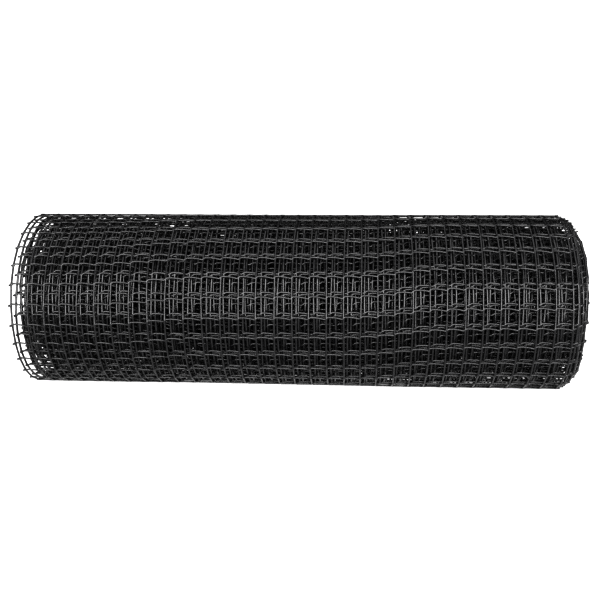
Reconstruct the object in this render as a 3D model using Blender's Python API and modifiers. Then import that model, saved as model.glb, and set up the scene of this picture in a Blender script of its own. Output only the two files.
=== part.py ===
"""A roll of extruded plastic bird netting, lying on its side on a flat surface.

Metres, +Z up. The roll's axis runs along X and its front faces -Y. The origin is on the surface that
the roll lies on, under the middle of the roll's box. The whole roll is one length of net: it starts at
the loose end, low on the back, and winds under the roll, up the front and over the top, until it ends
round the open bore. The outer turn has its gaps, each two real cells by two. The turns under it, which
cover each other's gaps, are the same net left uncut.
"""

import math

import bmesh
import bpy

# The net, laid flat
NET_WIDTH = 0.500
STRAND_WIDTH = 0.0024
STRAND_DEPTH = 0.0016
STUB_LENGTH = 0.0017
GAPS_ACROSS = 16

# The roll
ROLL_DEPTH = 0.1718
ROLL_HEIGHT = 0.1660
TURNS = 18
TURN_SPACING = 0.0027
BENDS_PER_TURN = 28
BENDS_PER_GAP = 2
LOOSE_END_BENDS = 2.5
FLAT_SPOT_WIDTH = 0.024

# How far the inner turns have slid to the right, and over how many turns most of it comes
SLIDE = 0.017
SLIDE_TURNS = 4.5

# How far they also wander back to the left, over how many turns, and after how many turns that starts
WANDER = 0.009
WANDER_TURNS = 2.618
WANDER_START = 4.0

PLASTIC_COLOUR = (0.018, 0.018, 0.019, 1.0)
PLASTIC_ROUGHNESS = 0.42

BEND_ANGLE = 2 * math.pi / BENDS_PER_TURN
LOOSE_END_ANGLE = LOOSE_END_BENDS * BEND_ANGLE
BASE_TURN = LOOSE_END_BENDS / BENDS_PER_TURN
FRONT_TURN = BASE_TURN + 1 / 4
HALF_STRAND_BEND = STRAND_WIDTH / 2 / (BEND_ANGLE * ROLL_DEPTH / 2)
BASE_RADIUS = ROLL_HEIGHT / 2 - TURN_SPACING * BASE_TURN
FLAT_SPOT_Z = -BASE_RADIUS * math.cos(math.asin(FLAT_SPOT_WIDTH / ROLL_DEPTH))


def clear_scene():
    for old in list(bpy.data.objects):
        bpy.data.objects.remove(old, do_unlink=True)


def plastic():
    """The black, slightly glossy plastic of the net."""
    material = bpy.data.materials.new("black_net_plastic")
    material.use_nodes = True
    shader = material.node_tree.nodes["Principled BSDF"]
    shader.inputs["Base Color"].default_value = PLASTIC_COLOUR
    shader.inputs["Roughness"].default_value = PLASTIC_ROUGHNESS
    shader.inputs["Metallic"].default_value = 0.0
    return material


def slide(turn):
    """How far the net lies to the right after this many turns from the loose end.

    It steps: the net hardly slides while it crosses the front, slides most at the back, and slides less
    with every turn inwards. Deeper in, it wanders to and fro as well.
    """
    turns_in = max(turn - FRONT_TURN, 0.0)
    stepped = turns_in - math.sin(2 * math.pi * turns_in) / (2 * math.pi)
    wandering = (1 + math.tanh(stepped - WANDER_START)) / 2
    back = WANDER * wandering * (1 - math.cos(2 * math.pi * stepped / WANDER_TURNS)) / 2
    return SLIDE * math.tanh(stepped / SLIDE_TURNS) - back


def wound_point(bend, across):
    """A point of the net's outer face, from its place on the flat net.

    `bend` counts the bends from the loose end, and `across` is the distance from the centre line.
    """
    turn = bend / BENDS_PER_TURN
    angle = LOOSE_END_ANGLE - bend * BEND_ANGLE
    y = (ROLL_DEPTH / 2 - TURN_SPACING * turn) * math.sin(angle)
    z = -(ROLL_HEIGHT / 2 - TURN_SPACING * turn) * math.cos(angle)
    return (across + slide(turn), y, max(z, FLAT_SPOT_Z))


def lines_along():
    """Places along the outer turn, each with whether a cross strand fills the net up to the next."""
    lines = [(0.0, True), (2 * HALF_STRAND_BEND, False)]
    for bend in range(1, BENDS_PER_TURN + 1):
        if bend % BENDS_PER_GAP:
            lines.append((bend, False))
        else:
            lines += [(bend - HALF_STRAND_BEND, True), (bend + HALF_STRAND_BEND, False)]
    return lines


def lines_across():
    """Places across the net, each with what fills it up to the next: a stub, a strand or a gap."""
    edge = NET_WIDTH / 2
    spacing = (NET_WIDTH - STRAND_WIDTH) / GAPS_ACROSS
    lines = [(-edge - STUB_LENGTH, "stub")]
    for strand in range(GAPS_ACROSS + 1):
        start = -edge + strand * spacing
        lines += [(start, "strand"), (start + STRAND_WIDTH, "gap")]
    return lines[:-1] + [(edge, "stub"), (edge + STUB_LENGTH, "nothing")]


def add_open_turn(bm):
    """The outer turn with its gaps. Returns its inner edge, from one selvedge to the other."""
    along = lines_along()
    across = lines_across()
    points = {}

    def corner(i, j):
        if (i, j) not in points:
            points[i, j] = bm.verts.new(wound_point(along[i][0], across[j][0]))
        return points[i, j]

    for i in range(len(along) - 1):
        for j in range(len(across) - 1):
            if along[i][1] or across[j][1] == "strand":
                bm.faces.new((corner(i, j), corner(i, j + 1), corner(i + 1, j + 1), corner(i + 1, j)))
    return [corner(len(along) - 1, j) for j in range(1, len(across) - 1)]


def add_covered_turns(bm, edge):
    """The turns under the outer one, a flat strip for each bend, down to the bore."""
    for bend in range(BENDS_PER_TURN + 1, TURNS * BENDS_PER_TURN + 1):
        left = bm.verts.new(wound_point(bend, -NET_WIDTH / 2))
        right = bm.verts.new(wound_point(bend, NET_WIDTH / 2))
        bm.faces.new((*edge, right, left))
        edge = [left, right]


def centre_over_origin(bm):
    """Moves the net so that its box stands with the middle of its base on the origin."""
    sides = [[vert.co[axis] for vert in bm.verts] for axis in range(3)]
    middle = [(min(side) + max(side)) / 2 for side in sides]
    bmesh.ops.translate(bm, verts=bm.verts, vec=(-middle[0], -middle[1], -min(sides[2])))


def make_net_roll():
    bm = bmesh.new()
    add_covered_turns(bm, add_open_turn(bm))
    centre_over_origin(bm)
    mesh = bpy.data.meshes.new("net_roll")
    bm.to_mesh(mesh)
    bm.free()
    mesh.materials.append(plastic())
    roll = bpy.data.objects.new("net_roll", mesh)
    thickness = roll.modifiers.new("strand_depth", "SOLIDIFY")
    thickness.thickness = STRAND_DEPTH
    thickness.offset = -1.0
    thickness.use_even_offset = True
    return roll


clear_scene()
parts = bpy.data.collections.new("bird_netting_roll")
bpy.context.scene.collection.children.link(parts)
parts.objects.link(make_net_roll())
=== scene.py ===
"""A roll of extruded plastic bird netting, lying on its side on a white floor that glows a little.

Metres, +Z up, the roll's axis along X and its front facing -Y. The whole roll is one length of net, wound
from the bore outwards, so every strand is placed on the flat net first and wound after that.
"""

import bpy
import numpy as np
from mathutils import Matrix, Vector


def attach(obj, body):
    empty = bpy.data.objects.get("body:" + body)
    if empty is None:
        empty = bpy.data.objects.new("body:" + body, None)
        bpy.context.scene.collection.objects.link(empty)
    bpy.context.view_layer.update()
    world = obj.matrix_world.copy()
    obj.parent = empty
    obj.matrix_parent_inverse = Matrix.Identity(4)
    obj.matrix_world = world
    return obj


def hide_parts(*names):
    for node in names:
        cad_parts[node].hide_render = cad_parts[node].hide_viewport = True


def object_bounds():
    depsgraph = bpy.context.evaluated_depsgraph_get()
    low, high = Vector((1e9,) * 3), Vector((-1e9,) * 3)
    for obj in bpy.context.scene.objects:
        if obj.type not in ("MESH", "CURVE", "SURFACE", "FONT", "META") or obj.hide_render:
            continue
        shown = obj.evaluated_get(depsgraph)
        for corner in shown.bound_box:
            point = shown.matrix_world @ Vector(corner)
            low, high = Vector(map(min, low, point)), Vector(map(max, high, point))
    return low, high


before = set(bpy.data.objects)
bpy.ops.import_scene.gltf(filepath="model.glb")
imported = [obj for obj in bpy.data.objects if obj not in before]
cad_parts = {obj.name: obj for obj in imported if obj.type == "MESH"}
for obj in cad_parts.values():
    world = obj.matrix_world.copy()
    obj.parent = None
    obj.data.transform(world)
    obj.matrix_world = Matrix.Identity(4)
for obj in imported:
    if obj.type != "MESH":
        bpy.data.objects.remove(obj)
cad_low, cad_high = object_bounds()

# The net, laid flat
# One length of black polyethylene net, extruded in one piece. Thirty-three strands run along it and become
# the hoops of the roll, and a cross strand fuses them together once every cell.
NET_WIDTH = 0.500
CELLS_ACROSS = 32
CELL_LENGTH = 0.01851
ROWS = 366
HOOP_WIDTH = 0.0019
HOOP_DEPTH = 0.0017
CROSS_WIDTH = 0.0015
CROSS_DEPTH = 0.0014
CROSS_SINK = -0.0002
STUB_LENGTH = 0.0017
KNOT_SWELL = 0.25
HOOP_DRAWS = (0.0032, -0.0011, -0.0020, -0.0006)

# How the rows run askew, in cells: a straight skew, a step at the left and a step at the right
ROW_START = 0.14
ROW_SKEW = 0.207
STEP_WIDTH = 0.12
LEFT_STEP_PLACE = -0.5
LEFT_STEP_START = 0.161
LEFT_STEP_HEIGHT = 0.32
LEFT_STEP_TURN = 1.4
LEFT_STEP_TURNS = 4.7
RIGHT_STEP_PLACE = 0.4
RIGHT_STEP_HEIGHT = 0.214

# How far the rows are out of step round the roll and in the turns inside, in cells
LONGER_MIDDLE = 0.03
LONGER_SLOPE = -0.13
LONGER_BOW = -0.10
LAG = 0.155
LAG_TURNS = 9
LATE = 0.2
LATE_RISE = 2


def hoop_place(hoop):
    """How far across the net a hoop lies: even cells, with the hoops near the middle drawn to the right.

    The draw is a sum of four half-sine waves over the width, each of them half a millimetre to three
    millimetres high.
    """
    share = np.asarray(hoop, float) / CELLS_ACROSS
    draw = sum(height * np.sin((k + 1) * np.pi * share) for k, height in enumerate(HOOP_DRAWS))
    return (share - 0.5) * (NET_WIDTH - HOOP_WIDTH) + draw


def row_place(row, across):
    """How many cells along the net a cross strand lies where it is this far across.

    The rows run askew: they lead by a cell from left to right, and most of it comes in two soft steps,
    each a tanh. The left step turns the other way in the turns inside. Round the roll the cells are a
    little longer at the left end than at the right, which a sine of the angle from the front gives. The
    rows of the first few turns inside lag as the square of the turn, and a bell curve ends that lag. Past the
    front of the outer turn they are also a little late towards the back, by a cosine of the angle.
    """
    w = across / (NET_WIDTH / 2)
    turns_in = np.maximum(row - FRONT_ROW, 0) / ROWS_PER_TURN
    left_height = LEFT_STEP_HEIGHT - LEFT_STEP_TURN * np.tanh(turns_in / LEFT_STEP_TURNS)
    left_step = LEFT_STEP_START + (np.tanh((w - LEFT_STEP_PLACE) / STEP_WIDTH) - 1) / 2 * left_height
    right_step = RIGHT_STEP_HEIGHT * np.tanh((w - RIGHT_STEP_PLACE) / STEP_WIDTH)
    askew = ROW_SKEW * w + left_step + right_step
    from_front = 2 * np.pi * (FRONT_ROW - row) / ROWS_PER_TURN
    longer = LONGER_MIDDLE + LONGER_SLOPE * w + LONGER_BOW * w ** 2
    lag = LAG * turns_in ** 2 * np.exp(-(turns_in / LAG_TURNS) ** 2)
    late = LATE * np.tanh(LATE_RISE * turns_in) * (1 - np.cos(from_front))
    return row + ROW_START + askew - longer * np.sin(from_front) - lag - late


# How the net is wound
# It starts at the loose end, low on the back, and winds under the roll, up the front and over the top.
# The roll has sagged a little under its own weight, and its inner turns have slid to the right. They also
# lie closer over the top and at the bottom, which closes slots there, so neighbouring strands overlap.
ROLL_DEPTH = 0.1718
ROLL_HEIGHT = 0.1667
TURN_SPACING = 0.0027
ROWS_PER_TURN = 28
LOOSE_END_ROWS = 2.5
FLAT_SPOT_WIDTH = 0.024
SLIDE = 0.017
SLIDE_TURNS = 4.5
WANDER = 0.0115
WANDER_TURNS = 2.618
WANDER_START = 4.0
CLOSING = 0.0045
CLOSING_TURNS = 2.6
FRONT_TURN = LOOSE_END_ROWS / ROWS_PER_TURN + 0.25
FRONT_ROW = FRONT_TURN * ROWS_PER_TURN
LOOSE_END_ANGLE = 2 * np.pi * LOOSE_END_ROWS / ROWS_PER_TURN
BASE_RADIUS = ROLL_HEIGHT / 2 - TURN_SPACING * LOOSE_END_ROWS / ROWS_PER_TURN
FLAT_SPOT_Z = -BASE_RADIUS * np.cos(np.arcsin(FLAT_SPOT_WIDTH / ROLL_DEPTH))
AXIS_X = cad_low.x + NET_WIDTH / 2 + STUB_LENGTH
AXIS_Y = cad_low.y + (ROLL_DEPTH / 2 - TURN_SPACING * FRONT_TURN) * np.cos(np.pi / ROWS_PER_TURN)
AXIS_Z = -FLAT_SPOT_Z
KNOT_HALF = HOOP_DEPTH / 2 * (1 + KNOT_SWELL)


def wound(cells, across, sink=0.0):
    """Where a strand's centre comes to lie once the net is wound, and which way is outwards there.

    The length of net up to a turn is a spiral's, 2 pi r t - pi p t^2 for an outer radius r and a spacing p,
    solved for the turn t. The turn gives the angle, the two radii of the oval, and the slide to the right,
    which steps at the back, dies away inwards and wanders deeper in. The turns lie closer over the top and at
    the bottom, by a tanh of the turn. Nothing goes below the flat spot.
    """
    radius = (ROLL_DEPTH + ROLL_HEIGHT) / 4 - HOOP_DEPTH / 2
    length = CELL_LENGTH * cells
    turn = (radius - np.sqrt(radius ** 2 - TURN_SPACING * length / np.pi)) / TURN_SPACING
    angle = LOOSE_END_ANGLE - 2 * np.pi * turn
    inwards = TURN_SPACING * turn + HOOP_DEPTH / 2 + sink
    y = (ROLL_DEPTH / 2 - inwards) * np.sin(angle)
    turns_in = np.maximum(turn - FRONT_TURN, 0)
    closing = CLOSING * np.tanh(turns_in / CLOSING_TURNS)
    z = np.maximum(-(ROLL_HEIGHT / 2 - inwards + closing) * np.cos(angle), FLAT_SPOT_Z + KNOT_HALF)
    stepped = turns_in - np.sin(2 * np.pi * turns_in) / (2 * np.pi)
    wandering = (1 + np.tanh(stepped - WANDER_START)) / 2
    back = WANDER * wandering * (1 - np.cos(2 * np.pi * stepped / WANDER_TURNS)) / 2
    x = across + SLIDE * np.tanh(stepped / SLIDE_TURNS) - back
    point = np.stack([AXIS_X + x, AXIS_Y + y, AXIS_Z + z], axis=-1)
    outward = np.stack([np.zeros_like(angle), np.sin(angle), -np.cos(angle)], axis=-1)
    return point, outward


# The plastic
# Black polyethylene with a satin skin: faint draw lines run along each strand, with a little dust and rub.
# Where the rub noise passes between its two levels, the plastic turns from clean to rubbed.
PLASTIC = (0.009, 0.009, 0.0095, 1.0)
RUBBED = (0.022, 0.022, 0.0225, 1.0)
PLASTIC_IOR = 1.5
SMOOTHEST, ROUGHEST = 0.18, 0.34
RUB_SCALE = 260.0
RUB_DETAIL = 4.0
RUB_FROM, RUB_TO = 0.50, 0.75
LINE_STRETCH = (60.0, 3000.0, 1.0)
LINE_DETAIL = 3.0
LINE_STRENGTH = 0.25
LINE_DEPTH = 0.0002


def net_plastic():
    plastic = bpy.data.materials.new("black_net_plastic")
    plastic.use_nodes = True
    nodes, links = plastic.node_tree.nodes, plastic.node_tree.links
    shader = nodes["Principled BSDF"]
    shader.inputs["IOR"].default_value = PLASTIC_IOR
    strand = nodes.new("ShaderNodeUVMap")
    strand.uv_map = "strand"
    stretch = nodes.new("ShaderNodeMapping")
    stretch.inputs["Scale"].default_value = LINE_STRETCH
    lines = nodes.new("ShaderNodeTexNoise")
    lines.inputs["Scale"].default_value = 1.0
    lines.inputs["Detail"].default_value = LINE_DETAIL
    links.new(strand.outputs["UV"], stretch.inputs["Vector"])
    links.new(stretch.outputs["Vector"], lines.inputs["Vector"])
    place = nodes.new("ShaderNodeTexCoord")
    rub = nodes.new("ShaderNodeTexNoise")
    rub.inputs["Scale"].default_value = RUB_SCALE
    rub.inputs["Detail"].default_value = RUB_DETAIL
    links.new(place.outputs["Object"], rub.inputs["Vector"])
    where = nodes.new("ShaderNodeMapRange")
    where.inputs["From Min"].default_value = RUB_FROM
    where.inputs["From Max"].default_value = RUB_TO
    links.new(rub.outputs["Fac"], where.inputs["Value"])
    colour = nodes.new("ShaderNodeMix")
    colour.data_type = "RGBA"
    colour.inputs["A"].default_value = PLASTIC
    colour.inputs["B"].default_value = RUBBED
    links.new(where.outputs["Result"], colour.inputs["Factor"])
    links.new(colour.outputs["Result"], shader.inputs["Base Color"])
    rough = nodes.new("ShaderNodeMapRange")
    rough.inputs["To Min"].default_value = SMOOTHEST
    rough.inputs["To Max"].default_value = ROUGHEST
    links.new(rub.outputs["Fac"], rough.inputs["Value"])
    links.new(rough.outputs["Result"], shader.inputs["Roughness"])
    bump = nodes.new("ShaderNodeBump")
    bump.inputs["Strength"].default_value = LINE_STRENGTH
    bump.inputs["Distance"].default_value = LINE_DEPTH
    links.new(lines.outputs["Fac"], bump.inputs["Height"])
    links.new(bump.outputs["Normal"], shader.inputs["Normal"])
    return plastic


black_plastic = net_plastic()


# The strands
# A strand is a tube of oval section, swollen where it runs through a knot. A hoop runs nearly straight from
# knot to knot. A cross strand leaves each hoop high, sags across the cell, and hooks up over the next.
KNOT_REACH = 0.0016
HOOP_STRAIGHTNESS = 0.75
HOOP_SWAY = 0.00028
SWAY_GROWTH = 5
PRESSED = 0.5
PRESSED_TURNS = 6
CROSS_PLACES = np.array([0.0, 0.04, 0.083, 0.16, 0.25, 0.50, 0.75, 0.917, 0.96, 1.0])
CROSS_HEIGHTS = np.array([0.0, 0.55, 0.95, 1.08, 1.10, 0.60, -0.10, -0.90, -0.60, 0.0]) * 0.001
STUB_ROUNDING = 0.0004
STUB_SWELL = 1.25
STUB_END_SWELL = 0.75
STUB_HEIGHT = 0.0007
STUB_END_HEIGHT = 0.0008


def swelling(distance):
    """A bell curve of the distance from the knot."""
    return 1 + KNOT_SWELL * np.exp(-(distance / KNOT_REACH) ** 2)


def flattening(row):
    """How much wider and flatter a strand is drawn in the turns inside, by a tanh of the turn.

    It is there for the look, to let less light through the covered turns.
    """
    return 1 + PRESSED * np.tanh(np.maximum(row - FRONT_ROW, 0) / ROWS_PER_TURN / PRESSED_TURNS)


def tubes(centres, outwards, width, depth, sides):
    """Closed tubes with oval rings round their centre lines.

    Each array is strands by rings by xyz. A ring turns in the plane square to the line, between the side
    and the outward direction, and its two half sizes are width / 2 and depth / 2.
    """
    along = np.gradient(centres, axis=1)
    along /= np.linalg.norm(along, axis=-1, keepdims=True)
    side = np.cross(along, outwards)
    side /= np.linalg.norm(side, axis=-1, keepdims=True)
    out = np.cross(side, along)
    turn = 2 * np.pi * np.arange(sides) / sides
    ring = (side[:, :, None] * (width[..., None] / 2 * np.cos(turn))[..., None]
            + out[:, :, None] * (depth[..., None] / 2 * np.sin(turn))[..., None])
    points = (centres[:, :, None] + ring).reshape(-1, 3)
    strands, rings = centres.shape[:2]
    number = np.arange(strands * rings * sides).reshape(strands, rings, sides)
    here, beyond = number[:, :-1], number[:, 1:]
    quads = np.stack([here, np.roll(here, -1, 2), np.roll(beyond, -1, 2), beyond], axis=-1).reshape(-1, 4)
    caps = np.concatenate([number[:, 0, ::-1], number[:, -1]])
    step = np.linalg.norm(np.diff(centres, axis=1), axis=-1)
    reached = np.concatenate([np.zeros((strands, 1)), np.cumsum(step, axis=1)], axis=1)
    span = np.broadcast_to(reached[:, :, None], number.shape)
    around = np.arange(sides + 1) / sides * np.pi * (HOOP_WIDTH + HOOP_DEPTH) / 2
    first = np.broadcast_to(around[:-1], here.shape)
    last = np.broadcast_to(around[1:], here.shape)
    u = np.stack([span[:, :-1], span[:, :-1], span[:, 1:], span[:, 1:]], axis=-1).reshape(-1)
    v = np.stack([first, last, last, first], axis=-1).reshape(-1)
    ends = np.zeros((caps.size, 2))
    return points, quads, caps, np.concatenate([np.stack([u, v], axis=-1), ends])


def sway(row, hoop):
    """How far a hoop sways sideways: two sines along it, in a step of their own for every hoop.

    The sway grows with every turn inwards, up to six times.
    """
    growth = 1 + np.minimum(np.maximum(row - FRONT_ROW, 0) / ROWS_PER_TURN, SWAY_GROWTH)
    return HOOP_SWAY * growth * (np.sin(0.83 * row + 2.4 * hoop) + np.sin(0.31 * row - 1.7 * hoop))


def hoops(first_row, last_row, steps, sides):
    """The thirty-three strands along the net between two rows, with rings at these shares of each cell."""
    rows = np.append((np.arange(first_row, last_row)[:, None] + steps).ravel(), last_row)
    hoop = np.arange(CELLS_ACROSS + 1)[:, None]
    across = hoop_place(hoop)
    before = np.floor(rows)
    share = (rows - before)[None, :, None]
    at_knot = wound(row_place(before, across), across + sway(before, hoop))[0]
    at_next = wound(row_place(before + 1, across), across + sway(before + 1, hoop))[0]
    curve, outward = wound(row_place(rows, across), across + sway(rows, hoop))
    chord = at_knot * (1 - share) + at_next * share
    centres = HOOP_STRAIGHTNESS * chord + (1 - HOOP_STRAIGHTNESS) * curve
    swell = swelling(CELL_LENGTH * np.abs(rows - np.round(rows)))
    pressed = flattening(rows)
    return tubes(centres, outward, HOOP_WIDTH * swell * pressed, HOOP_DEPTH * swell / pressed, sides)


def cross_strands(first_row, last_row, steps, sides):
    """The cross strands of these rows, from stub to stub, with rings at these shares of each cell."""
    hoop = np.append((np.arange(CELLS_ACROSS)[:, None] + steps).ravel(), CELLS_ACROSS)
    place = hoop_place(hoop)
    stub = NET_WIDTH / 2 + STUB_LENGTH
    across = np.concatenate([[-stub, -stub + STUB_ROUNDING], place, [stub - STUB_ROUNDING, stub]])
    height = np.concatenate([[-STUB_END_HEIGHT, -STUB_HEIGHT],
                             np.interp(hoop % 1, CROSS_PLACES, CROSS_HEIGHTS),
                             [STUB_HEIGHT, STUB_END_HEIGHT]])
    swell = np.concatenate([[STUB_END_SWELL, STUB_SWELL],
                            swelling(np.abs(place - hoop_place(np.round(hoop)))),
                            [STUB_SWELL, STUB_END_SWELL]])
    rows = np.arange(first_row, last_row)[:, None]
    cells = row_place(rows, across) + height / CELL_LENGTH
    centres, outward = wound(cells, across, CROSS_SINK)
    pressed = flattening(rows)
    return tubes(centres, outward, CROSS_WIDTH * swell * pressed, CROSS_DEPTH * swell / pressed, sides)


def net_piece(name, *strands):
    """One mesh of these sets of strands, each strand a closed tube."""
    points = np.concatenate([s[0] for s in strands])
    firsts = np.cumsum([0] + [len(s[0]) for s in strands])
    faces = []
    for (_, quads, caps, _), first in zip(strands, firsts):
        faces += (quads + first).tolist() + (caps + first).tolist()
    mesh = bpy.data.meshes.new(name)
    mesh.from_pydata(points.tolist(), [], faces)
    layer = mesh.uv_layers.new(name="strand")
    layer.data.foreach_set("uv", np.concatenate([s[3] for s in strands]).astype(np.float32).ravel())
    mesh.shade_smooth()
    mesh.materials.append(black_plastic)
    piece = bpy.data.objects.new(name, mesh)
    bpy.context.scene.collection.objects.link(piece)
    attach(piece, "root")
    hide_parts("net_roll")
    return piece


# The outer turn
# It is seen whole, from the loose end round to the start of the second turn, so it has the finest tubes.
SECOND_TURN_ROW = 28
net_piece("outer_turn",
          hoops(0, SECOND_TURN_ROW, np.array([0.0, 0.06, 0.13, 0.5, 0.87, 0.94]), 8),
          cross_strands(0, SECOND_TURN_ROW, np.array([0.0, 0.05, 0.11, 0.35, 0.65, 0.917, 0.96]), 8))

# The second and third turns
# They show through the cells of the outer turn, slid to the right of it.
FOURTH_TURN_ROW = 82
net_piece("turns_2_and_3",
          hoops(SECOND_TURN_ROW, FOURTH_TURN_ROW, np.array([0.0, 0.08, 0.5, 0.92]), 6),
          cross_strands(SECOND_TURN_ROW, FOURTH_TURN_ROW, np.array([0.0, 0.05, 0.16, 0.5, 0.92]), 6))

# The covered turns
# The rest of the net, down to the open bore, seen in the dark between the strands above it and at the ends.
MIDDLE_ROW = 170
INSIDE_ROW = 260
COVERED_CROSS_STEPS = np.array([0.0, 0.09, 0.35, 0.92])
net_piece("covered_turns_outside",
          hoops(FOURTH_TURN_ROW, MIDDLE_ROW, np.array([0.0, 0.35, 0.65]), 4),
          cross_strands(FOURTH_TURN_ROW, MIDDLE_ROW, COVERED_CROSS_STEPS, 4))
net_piece("covered_turns_middle",
          hoops(MIDDLE_ROW, INSIDE_ROW, np.array([0.0, 0.5]), 4),
          cross_strands(MIDDLE_ROW, INSIDE_ROW, COVERED_CROSS_STEPS, 4))
net_piece("covered_turns_inside",
          hoops(INSIDE_ROW, ROWS - 1, np.array([0.0, 0.5]), 4),
          cross_strands(INSIDE_ROW, ROWS, COVERED_CROSS_STEPS, 4))


# The floor
# A plain matt white light table under the roll, which glows a little and runs out of the picture.
FLOOR_SIDE = 60.0
FLOOR_COLOUR = (0.25, 0.25, 0.25, 1.0)
FLOOR_ROUGHNESS = 0.9
FLOOR_GLOW_COLOUR = (1.0, 1.0, 1.0, 1.0)
FLOOR_GLOW = 0.95
side = FLOOR_SIDE / 2
corners = [(-side, -side, 0), (side, -side, 0), (side, side, 0), (-side, side, 0)]
floor_mesh = bpy.data.meshes.new("floor")
floor_mesh.from_pydata(corners, [], [(0, 1, 2, 3)])
floor = bpy.data.objects.new("floor", floor_mesh)
bpy.context.scene.collection.objects.link(floor)
glowing_white = bpy.data.materials.new("glowing_white")
glowing_white.use_nodes = True
floor_shader = glowing_white.node_tree.nodes["Principled BSDF"]
floor_shader.inputs["Base Color"].default_value = FLOOR_COLOUR
floor_shader.inputs["Roughness"].default_value = FLOOR_ROUGHNESS
floor_shader.inputs["Emission Color"].default_value = FLOOR_GLOW_COLOUR
floor_shader.inputs["Emission Strength"].default_value = FLOOR_GLOW
floor_mesh.materials.append(glowing_white)

# The light
# A dim room, brighter along its horizon, with a broad soft light high overhead and a wide low softbox in
# front of the roll. The softbox stands just over the floor and puts the shine on the hoops.
ROOM_STRENGTH = 0.25
HORIZON_STRENGTH = 1.3
HORIZON_RISE = 0.04
OVERHEAD_STRENGTH = 4.2
OVERHEAD_ANGLE = 80.0
SOFTBOX_POWER = 205.0
SOFTBOX_WIDTH = 2.4
SOFTBOX_HEIGHT = 1.8
SOFTBOX_DISTANCE = 2.0
SOFTBOX_ELEVATION = 24.0
world = bpy.data.worlds.new("dim_room")
world.use_nodes = True
room_nodes, room_links = world.node_tree.nodes, world.node_tree.links
direction = room_nodes.new("ShaderNodeTexCoord")
height = room_nodes.new("ShaderNodeSeparateXYZ")
fade = room_nodes.new("ShaderNodeMapRange")
fade.inputs["From Min"].default_value = HORIZON_RISE
fade.inputs["From Max"].default_value = 3 * HORIZON_RISE
fade.inputs["To Min"].default_value = HORIZON_STRENGTH
fade.inputs["To Max"].default_value = ROOM_STRENGTH
room_links.new(direction.outputs["Generated"], height.inputs["Vector"])
room_links.new(height.outputs["Z"], fade.inputs["Value"])
room_links.new(fade.outputs["Result"], room_nodes["Background"].inputs["Strength"])
room_nodes["Background"].inputs["Color"].default_value = (1.0, 1.0, 1.0, 1.0)
bpy.context.scene.world = world

overhead = bpy.data.lights.new("overhead_light", "SUN")
overhead.energy = OVERHEAD_STRENGTH
overhead.angle = np.radians(OVERHEAD_ANGLE)
bpy.context.scene.collection.objects.link(bpy.data.objects.new("overhead_light", overhead))
softbox = bpy.data.lights.new("softbox", "AREA")
softbox.shape = "RECTANGLE"
softbox.energy = SOFTBOX_POWER
softbox.size = SOFTBOX_WIDTH
softbox.size_y = SOFTBOX_HEIGHT
softbox_lamp = bpy.data.objects.new("softbox", softbox)
bpy.context.scene.collection.objects.link(softbox_lamp)
softbox_rise = np.radians(SOFTBOX_ELEVATION)
softbox_lamp.rotation_euler = (np.pi / 2 - softbox_rise, 0.0, 0.0)
softbox_lamp.location = (0.0, -SOFTBOX_DISTANCE * np.cos(softbox_rise),
                         SOFTBOX_DISTANCE * np.sin(softbox_rise))

# The camera
# It stands in front of the roll, a little right of the middle, and looks slightly over it. Its place and
# lens come from a fit to the photograph, with the elevation given. The gamma deepens the blacks.
CAMERA_ELEVATION = 18.3
CAMERA_TO_RIGHT = 4.58
CAMERA_DISTANCE = 0.8425
CAMERA_TILT_UP = 1.78
CAMERA_ROLL = 0.84
FOCAL_PIXELS = 860.5
MIDDLE_LEFT_PIXELS = 7.6
MIDDLE_UP_PIXELS = 28.05
PICTURE_PIXELS = 600
SENSOR_WIDTH = 36.0
VIEW_GAMMA = 0.57
lens = bpy.data.cameras.new("camera")
lens.sensor_width = SENSOR_WIDTH
lens.lens = SENSOR_WIDTH * FOCAL_PIXELS / PICTURE_PIXELS
lens.shift_x = MIDDLE_LEFT_PIXELS / PICTURE_PIXELS
lens.shift_y = -MIDDLE_UP_PIXELS / PICTURE_PIXELS
camera = bpy.data.objects.new("camera", lens)
bpy.context.scene.collection.objects.link(camera)
middle = Vector((AXIS_X, AXIS_Y, AXIS_Z))
rise, right_turn, tilt, roll = np.radians([CAMERA_ELEVATION, CAMERA_TO_RIGHT, CAMERA_TILT_UP, CAMERA_ROLL])
from_roll = Vector((np.sin(right_turn) * np.cos(rise), -np.cos(right_turn) * np.cos(rise), np.sin(rise)))
right = Vector((np.cos(right_turn), np.sin(right_turn), 0.0))
back = from_roll * np.cos(tilt) - from_roll.cross(right) * np.sin(tilt)
up = back.cross(right)
view_right = right * np.cos(roll) - up * np.sin(roll)
view_up = right * np.sin(roll) + up * np.cos(roll)
camera.matrix_world = Matrix.Translation(middle + from_roll * CAMERA_DISTANCE) @ Matrix(
    (view_right, view_up, back)).transposed().to_4x4()
bpy.context.scene.camera = camera
bpy.context.scene.view_settings.view_transform = "Standard"
bpy.context.scene.view_settings.gamma = VIEW_GAMMA
